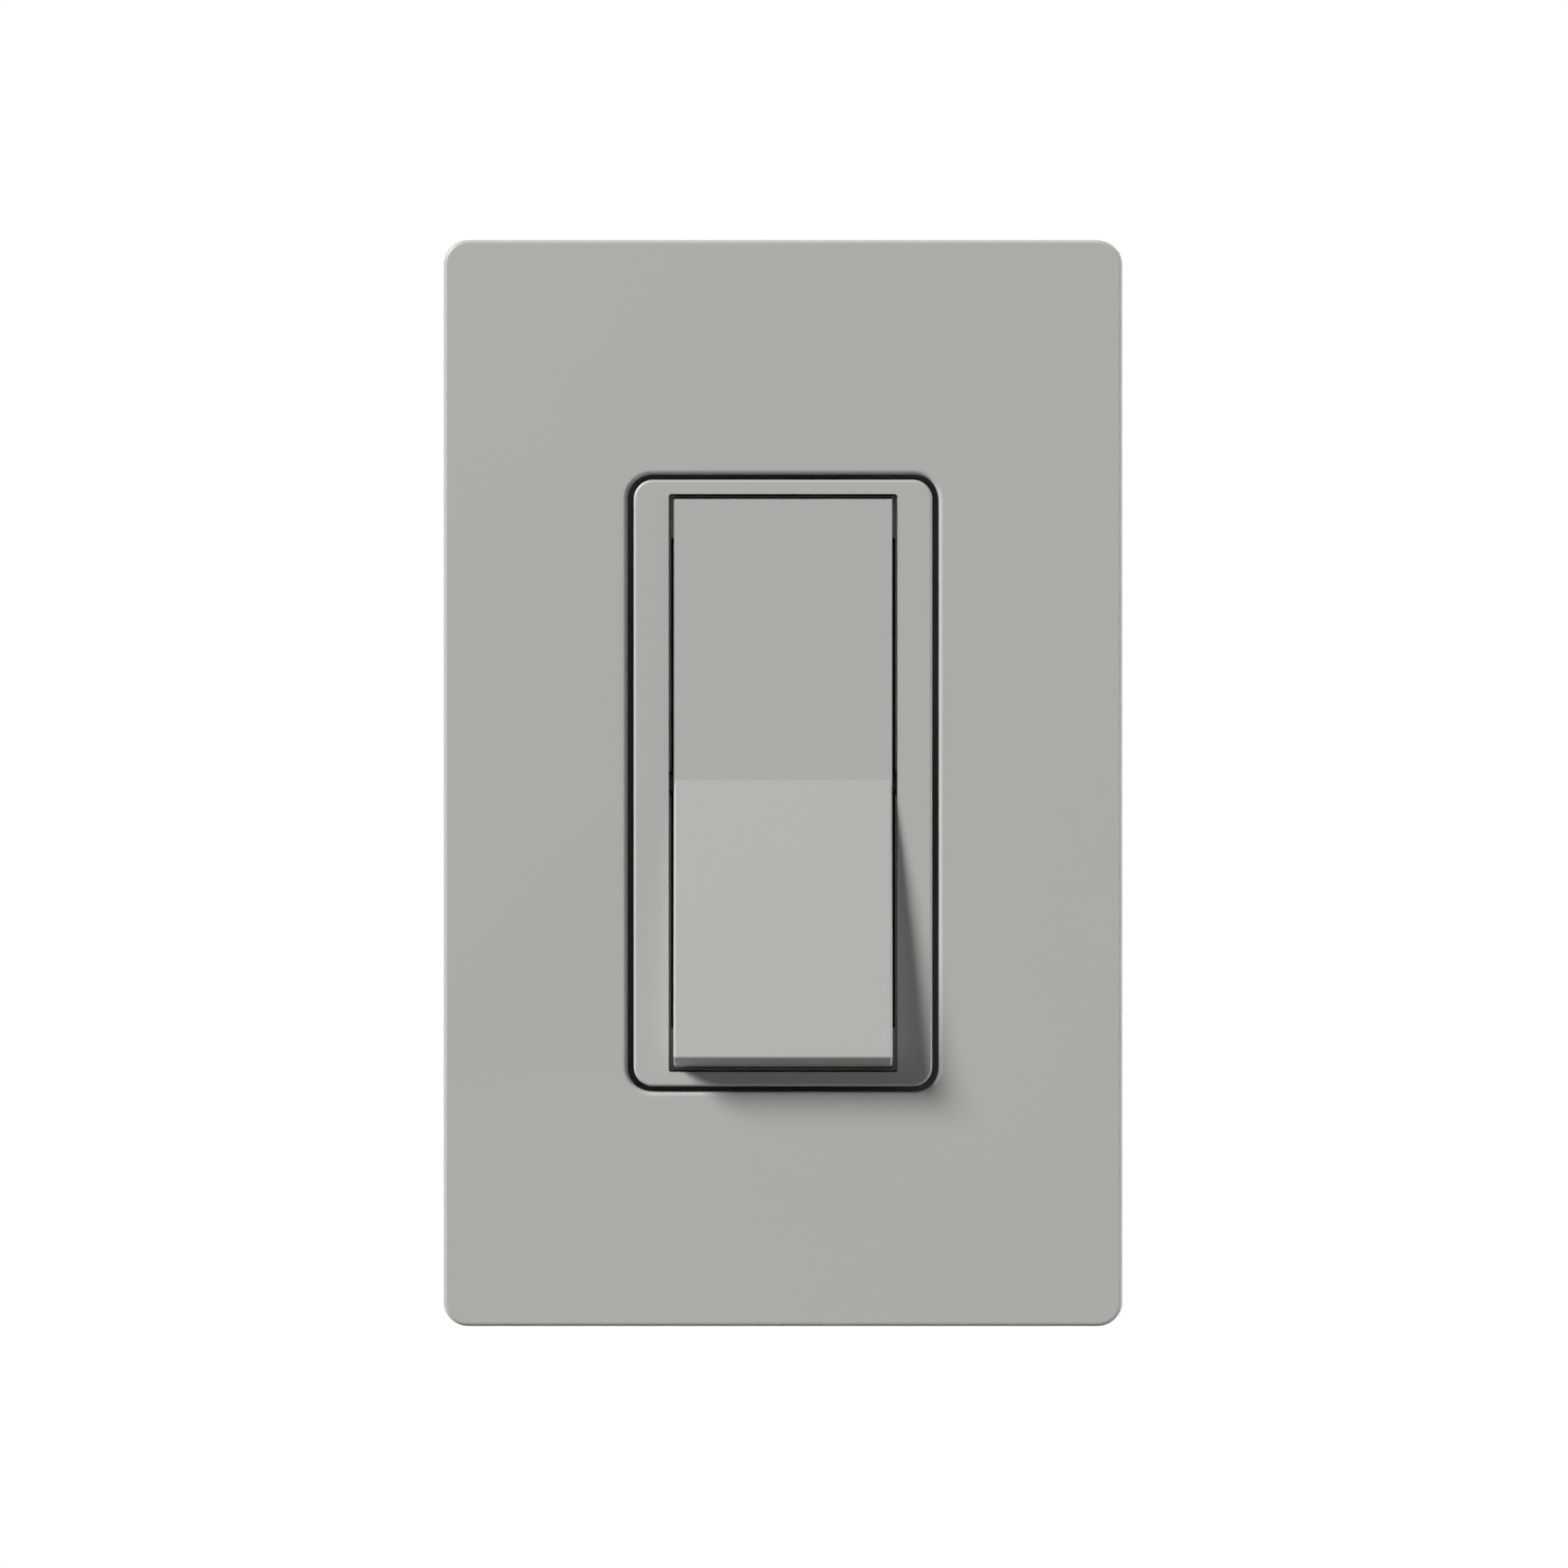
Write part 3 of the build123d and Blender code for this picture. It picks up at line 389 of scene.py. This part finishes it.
def thermoset(name, tone):
    """A filled moulding compound: dark, faintly mottled, with pale specks of filler."""
    body = MaterialRecipe(name)
    mottle = body.noise(2 * mm, detail=4.0)
    cells = {"Scale": 1 / (0.9 * mm), "Vector": body.place()}
    specks = body.node("ShaderNodeTexVoronoi", None, cells, out="Distance")
    filler = body.ramp(specks, (0.0, 1.0), (0.12, 0.0))
    colour = body.mix(mottle, shade(tone, 0.8), shade(tone, 1.3))
    body.set(base_color=body.mix(filler * 0.35, colour, filler_tone))
    body.set(roughness=0.42 + 0.12 * mottle, specular_ior_level=0.45)
    body.set(normal=body.bump(body.noise(0.3 * mm), 0.012 * mm))
    return body.material


satin_grey = satin_plastic(
    "satin_grey_plastic", grey, gloss=0.46, grain=0.16 * mm, grain_depth=0.0016 * mm
)
adapter_grey = satin_plastic(
    "adapter_plastic", shade(grey, 0.97), gloss=0.62, grain=0.30 * mm, grain_depth=0.008 * mm
)
acetal = satin_plastic(
    "white_acetal", (0.74, 0.73, 0.69), gloss=0.36, grain=0.3 * mm, grain_depth=0.002 * mm
)
dark_body = thermoset("dark_thermoset", (0.040, 0.040, 0.043))
print("plastics", [plastic.name for plastic in (satin_grey, adapter_grey, acetal, dark_body)])

# %% [markdown]
# ## Metals
# The strap is rolled steel with a zinc coat, so it has faint streaks along
# its length and a cloudy gloss. Screws are zinc plated too, brass pieces are
# warm and slightly stained, and the ground screw wears a green dye over its
# plating.

# %% Metals
metal_grain = 0.4 * mm
even_grain = (1, 1, 1)


def metal(name, tone, gloss, streak=even_grain, stain=0.0, stain_tone=None):
    """Metal with a grain that may run one way, and an optional cloudy stain."""
    plate = MaterialRecipe(name)
    along = plate.noise(metal_grain, detail=4.0, roughness=0.6, where=plate.place(streak))
    clouds = plate.noise(6 * mm, detail=4.0)
    colour = plate.mix(along, shade(tone, 0.92), shade(tone, 1.06))
    if stain:
        patches = plate.ramp(clouds, (0.42, 0.0), (0.62, 1.0))
        colour = plate.mix(stain * patches, colour, stain_tone)
    plate.set(base_color=colour, metallic=1.0)
    plate.set(roughness=gloss + 0.10 * (along - 0.5) + 0.14 * (clouds - 0.5))
    plate.set(normal=plate.bump(along, 0.004 * mm))
    return plate.material


zinc_strap = metal(
    "zinc_strap", (0.60, 0.60, 0.58), gloss=0.36, streak=(1, 1, 0.06),
    stain=0.5, stain_tone=(0.66, 0.63, 0.52),
)
zinc_screw = metal(
    "zinc_steel", (0.60, 0.60, 0.59), gloss=0.38, stain=0.4, stain_tone=(0.52, 0.53, 0.55)
)
spring_steel = metal("spring_steel", (0.46, 0.46, 0.46), gloss=0.28, streak=(1, 1, 0.2))
brass = metal(
    "brass", (0.74, 0.53, 0.22), gloss=0.30, streak=(1, 1, 0.3),
    stain=0.5, stain_tone=(0.60, 0.38, 0.14),
)
copper = metal(
    "copper", (0.80, 0.43, 0.28), gloss=0.32, streak=(1, 1, 0.1),
    stain=0.4, stain_tone=(0.62, 0.30, 0.18),
)
silver = metal("silver_contact", (0.80, 0.79, 0.76), gloss=0.26)


def green_plating(name):
    """Dyed plating: a metal skin under a green film, paler and darker in random clouds."""
    film = MaterialRecipe(name)
    clouds = film.noise(3 * mm, detail=4.0)
    colour = film.mix(clouds, (0.012, 0.16, 0.055), (0.03, 0.27, 0.10))
    film.set(base_color=colour, metallic=0.75, roughness=0.28 + 0.12 * clouds)
    film.set(coat_weight=0.3, coat_roughness=0.2)
    film.set(normal=film.bump(film.noise(metal_grain), 0.004 * mm))
    return film.material


def vulcanised_fibre(name):
    """Pressed paper fibre: red-brown and matte, with short pale threads in it."""
    sheet = MaterialRecipe(name)
    threads = sheet.noise(0.5 * mm, detail=5.0, where=sheet.place((0.2, 1, 1)))
    colour = sheet.mix(threads, (0.20, 0.085, 0.05), (0.36, 0.19, 0.12))
    sheet.set(base_color=colour, roughness=0.85, specular_ior_level=0.3)
    sheet.set(normal=sheet.bump(threads, 0.02 * mm))
    return sheet.material


green_screw = green_plating("green_screw")
fibre = vulcanised_fibre("fibre")

# %% [markdown]
# ## A finish for every node
# The pieces that are modelled again below take their finish from this list
# too.

# %% Finishes
finishes = {
    "wallplate_cover": satin_grey,
    "bezel_frame": satin_grey,
    "paddle": satin_grey,
    "wallplate_adapter": adapter_grey,
    "plunger": acetal,
    "rear_housing": dark_body,
    "barrier_plate": dark_body,
    "yoke_strap": zinc_strap,
    "adapter_screws": zinc_screw,
    "box_screws": zinc_screw,
    "clamp_plates": zinc_screw,
    "assembly_screws": zinc_screw,
    "plunger_spring": spring_steel,
    "push_in_springs": spring_steel,
    "common_terminal": brass,
    "fixed_terminal": brass,
    "terminal_screws": brass,
    "contact_rocker": copper,
    "fixed_contact": silver,
    "moving_contact": silver,
    "ground_screw": green_screw,
    "screw_retainers": fibre,
}
for name, material in finishes.items():
    mesh = nodes[name].data
    mesh.materials.clear()
    mesh.materials.append(material)
print("finished", len(finishes), "of", len(nodes), "CAD nodes")

# %% [markdown]
# ## Modelling steps
# Threads and springs are both a small outline wound round Z, and every piece
# is closed, turned outwards and stood in its place in the same way.

# %% Steps that come back


def select_only(*pieces):
    """Selects these pieces alone, with the last one active."""
    bpy.ops.object.select_all(action="DESELECT")
    for piece in pieces:
        piece.select_set(True)
    bpy.context.view_layer.objects.active = pieces[-1]


def turn_outwards():
    """Turns all faces of the mesh in edit mode outwards, and ends edit mode."""
    bpy.ops.mesh.select_all(action="SELECT")
    bpy.ops.mesh.normals_make_consistent(inside=False)
    bpy.ops.object.mode_set(mode="OBJECT")


def wind(outline, pitch, turns, steps):
    """Winds the active outline round Z into a helix, and starts edit mode."""
    bpy.ops.object.modifier_add(type="SCREW")
    winding = outline.modifiers[-1]
    winding.screw_offset = pitch
    winding.iterations = turns
    winding.steps = steps
    winding.render_steps = steps
    bpy.ops.object.modifier_apply(modifier=winding.name)
    bpy.ops.object.mode_set(mode="EDIT")


def stance(up, along):
    """The rotation that brings Z to one direction and X to another."""
    return Matrix((along, up.cross(along), up)).transposed().to_euler()


# %% [markdown]
# ## Screws
# CAD left the screws as plain slotted discs on smooth shanks. Here each one is
# drawn out ring by ring from its crown to its tip, gets its slot and a thread,
# and takes its CAD screw's place. The crown is a quarter ellipse in section.

# %% Screw blanks
ring_sides = 48
crown_rings = 7
slot_width = 1.0 * mm
slot_share = 0.6


def draw_ring(rise, scale):
    """Draws the selected end of a turned blank out along Z and scales it there."""
    bpy.ops.mesh.extrude_region_move(TRANSFORM_OT_translate={"value": (0, 0, rise)})
    bpy.ops.transform.resize(value=(scale, scale, 1), center_override=(0, 0, 0))


def turned_blank(name, outline):
    """A solid of revolution round Z through (radius, height) points, from its top down."""
    top_radius, top_height = outline[0]
    bpy.ops.object.select_all(action="DESELECT")
    bpy.ops.mesh.primitive_circle_add(
        vertices=ring_sides, radius=top_radius, fill_type="NGON", location=(0, 0, top_height)
    )
    blank = bpy.context.object
    blank.name = name
    bpy.ops.object.transform_apply()
    bpy.ops.object.mode_set(mode="EDIT")
    bpy.ops.mesh.select_all(action="SELECT")
    for (radius, height), (next_radius, next_height) in zip(outline, outline[1:]):
        draw_ring(next_height - height, next_radius / radius)
    turn_outwards()
    return blank


def crown(radius, height, rim_share):
    """A domed head's outline: from near the axis, over the dome and down to the seat."""
    rim = rim_share * height
    bends = [(step + 1) / crown_rings * pi / 2 for step in range(crown_rings)]
    dome = [(radius * sin(bend), rim + (height - rim) * cos(bend)) for bend in bends]
    return [*dome, (radius, 0)]


def cut_slot(blank, radius, height):
    """Cuts a straight driver slot across the top of a head, with a longer cutter."""
    bpy.ops.object.select_all(action="DESELECT")
    bpy.ops.mesh.primitive_cube_add(size=1, location=(0, 0, height))
    cutter = bpy.context.object
    cutter.scale = (3 * radius, slot_width, 2 * slot_share * height)
    bpy.ops.object.transform_apply()
    select_only(blank)
    bpy.ops.object.modifier_add(type="BOOLEAN")
    cut = blank.modifiers[-1]
    cut.operation = "DIFFERENCE"
    cut.object = cutter
    bpy.ops.object.modifier_apply(modifier=cut.name)
    bpy.data.objects.remove(cutter)


# %% [markdown]
# A thread is a small ridge that climbs round the shank. Its section is a
# diamond, whose inner half stays in the core, and each end of it is drawn
# together into a point, as a real thread runs out.

# %% Threads
thread_steps = 24
ridge_half_share = 0.45
seat_fall = 0.01 * mm
neck_taper = 0.3 * mm
tip_chamfer = 0.4 * mm
screw_crease = radians(35)


def thread(root, crest, pitch, low, high):
    """A helical ridge round Z between two heights, with its ends run out."""
    turns = int((high - low) / pitch - 1)
    bpy.ops.object.select_all(action="DESELECT")
    bpy.ops.mesh.primitive_circle_add(
        vertices=4, radius=crest - root, location=(root, 0, low), rotation=(pi / 2, 0, 0)
    )
    ridge = bpy.context.object
    ridge.scale.y = ridge_half_share * pitch / (crest - root)
    bpy.ops.object.transform_apply()
    wind(ridge, pitch, turns, thread_steps)
    bpy.ops.mesh.select_mode(type="VERT")
    bpy.ops.mesh.select_all(action="DESELECT")
    bpy.ops.mesh.select_non_manifold()
    bpy.ops.mesh.merge(type="COLLAPSE")
    turn_outwards()
    return ridge


def screw(name, head, shank, pitch, root, neck=None, rim_share=0.35):
    """A slotted screw on its seat at the origin, with its head up and its shank down."""
    head_radius, head_height = head
    crest, length = shank
    neck_radius, neck_length = neck or (crest, 0.5 * pitch)
    outline = [
        *crown(head_radius, head_height, rim_share),
        (neck_radius, -seat_fall),
        (neck_radius, -neck_length),
        (root, -neck_length - neck_taper),
        (root, tip_chamfer - length),
        (root - tip_chamfer, -length),
    ]
    body = turned_blank(name, outline)
    cut_slot(body, head_radius, head_height)
    ridge = thread(root, crest, pitch, tip_chamfer + 0.5 * pitch - length, -neck_length)
    select_only(ridge, body)
    bpy.ops.object.join()
    bpy.ops.object.shade_smooth_by_angle(angle=screw_crease)
    return body


# %% [markdown]
# Where a screw goes follows from its CAD node's box: its head touches the box
# on the side that it faces, and where the box is wide, two screws touch its
# opposite sides.

# %% Screws in place
one_screw_width = 3


def seats(node, away, head_radius, head_height):
    """The middle of each head's seat, from the box of the node that holds the screws."""
    low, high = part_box(node)
    spots = [[]]
    for axis in range(3):
        if away[axis]:
            edge = high[axis] if away[axis] > 0 else low[axis]
            marks = [edge - away[axis] * head_height]
        elif high[axis] - low[axis] > one_screw_width * head_radius:
            marks = [low[axis] + head_radius, high[axis] - head_radius]
        else:
            marks = [(low[axis] + high[axis]) / 2]
        spots = [[*spot, mark] for spot in spots for mark in marks]
    return [Vector(spot) for spot in spots]


def drive_in(node, away, slot_along, slot_name, head, **sizes):
    """Models a node's screw once and puts a copy with its own mesh on each seat."""
    first = screw(node.removesuffix("s"), head, **sizes)
    first.data.materials.clear()
    first.data.materials.append(finishes[node])
    spots = seats(node, away, *head)
    for number, spot in enumerate(spots, 1):
        piece = first.copy()
        piece.data = first.data.copy()
        piece.name = f"{first.name}_{number}_threaded"
        bpy.context.scene.collection.objects.link(piece)
        piece.rotation_euler = stance(Vector(away), Vector(slot_along))
        piece.location = spot
        select_only(piece)
        bpy.ops.object.transform_apply()
        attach(piece, "root")
        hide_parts(node)
    bpy.data.objects.remove(first)
    print(node, len(spots), "screws of", len(piece.data.polygons), "faces each")


machine = {"pitch": 0.794 * mm, "root": 1.35 * mm}
forming = {"pitch": 0.8 * mm, "root": 0.7 * mm}
front, back, left, right = (0, -1, 0), (0, 1, 0), (-1, 0, 0), (1, 0, 0)

drive_in(
    "box_screws", front, right, "zinc_steel", head=(3.5 * mm, 2.2 * mm),
    shank=(1.75 * mm, 25.4 * mm), neck=(1.5 * mm, 1.65 * mm), **machine,
)
drive_in(
    "adapter_screws", front, right, "zinc_steel", head=(2.9 * mm, 1.3 * mm),
    shank=(1.75 * mm, 9.0 * mm), **machine,
)
drive_in(
    "ground_screw", left, (0, 0, 1), "green_screw", head=(3.75 * mm, 2.1 * mm),
    shank=(1.75 * mm, 6.0 * mm), rim_share=0.6, **machine,
)
drive_in(
    "terminal_screws", right, back, "brass", head=(3.75 * mm, 2.1 * mm),
    shank=(1.75 * mm, 5.6 * mm), rim_share=0.6, **machine,
)
drive_in(
    "assembly_screws", back, right, "zinc_steel", head=(1.7 * mm, 1.3 * mm),
    shank=(0.95 * mm, 31.7 * mm), **forming,
)

# %% [markdown]
# ## Plunger spring
# CAD's spring has a six-sided wire and keeps its length. This one is wound
# from round wire along the plunger's slide.

# %% Plunger spring
wire_radius = 0.19 * mm
coil_radius = 1.35 * mm
coils = 6
wire_sides = 12
coil_steps = 32
wire_crease = radians(50)

slide = next(joint for joint in frame["joints"] if joint["name"] == "plunger_slide")
rock = next(joint for joint in frame["joints"] if joint["name"] == "paddle_rock")
rearward = -Vector(slide["axis"]).normalized()
pivot = Vector(rock["pos_m"])
spring_low, spring_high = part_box("plunger_spring")
lean = coil_radius * abs(rearward.z)
front_end = (spring_low.y + wire_radius + lean - pivot.y) / rearward.y
rear_end = (spring_high.y - wire_radius - lean - pivot.y) / rearward.y
spring_length = rear_end - front_end
outer_length = spring_length + 2 * wire_radius

bpy.ops.object.select_all(action="DESELECT")
bpy.ops.mesh.primitive_circle_add(
    vertices=wire_sides, radius=wire_radius, location=(coil_radius, 0, 0), rotation=(pi / 2, 0, 0)
)
spring = bpy.context.object
spring.name = "plunger_spring_wound"
bpy.ops.object.transform_apply()
wind(spring, spring_length / coils, coils, coil_steps)
bpy.ops.mesh.select_all(action="SELECT")
bpy.ops.mesh.fill_holes(sides=0)
turn_outwards()
bpy.ops.object.shade_smooth_by_angle(angle=wire_crease)

spring.rotation_euler = stance(rearward, Vector(right))
spring.location = pivot + front_end * rearward
bpy.ops.object.transform_apply()
spring.data.materials.append(finishes["plunger_spring"])
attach(spring, "paddle")
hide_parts("plunger_spring")
pivot + (front_end - wire_radius) * rearward
1 - slide["range_m"][1] / outer_length
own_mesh(spring)
print("plunger spring", round(spring_length / mm, 2), "mm long,", len(spring.data.polygons), "faces")
